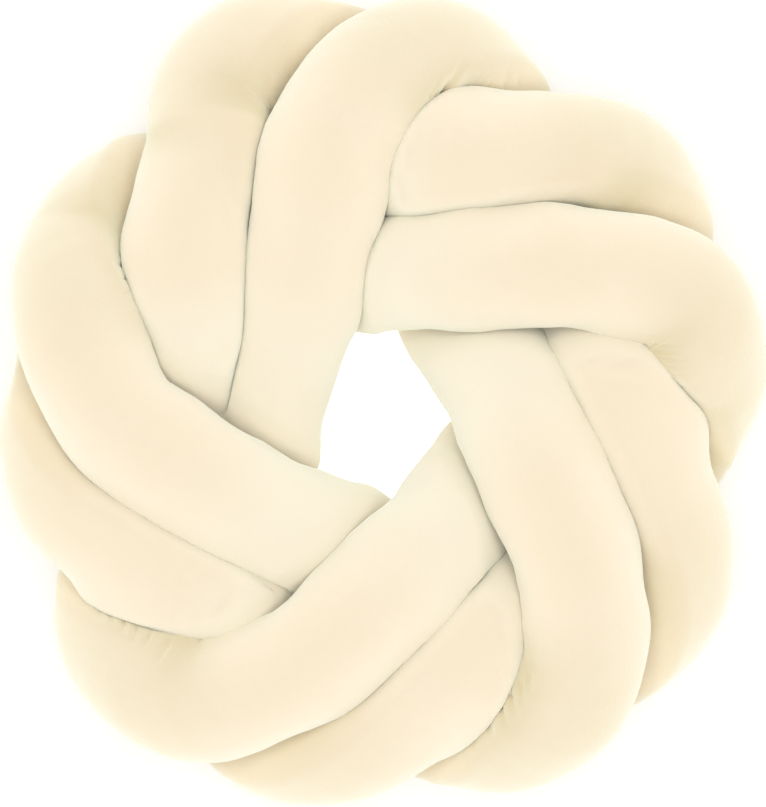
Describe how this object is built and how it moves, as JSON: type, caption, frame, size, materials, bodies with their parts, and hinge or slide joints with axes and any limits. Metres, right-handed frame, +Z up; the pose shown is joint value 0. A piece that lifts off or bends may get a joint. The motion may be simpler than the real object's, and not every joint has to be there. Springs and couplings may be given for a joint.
{
  "type": "knot cushion",
  "caption": "Round floor or sofa cushion: a thick stuffed cloth tube knotted into a flat ring of paired, overlapping runs around an open middle.",
  "frame": {"origin": "middle of the cushion's box in plan, on the surface it lies on", "axes": "+Z up out of the cushion's face, +Y towards the top of the picture, +X towards its right"},
  "size_m": [0.4446, 0.4734, 0.1483],
  "materials": {
    "cloth": "short-pile cream velvet, matt with a soft sheen at the rims"
  },
  "bodies": {
    "root": {"knot_tube": "cloth"}
  },
  "joints": []
}
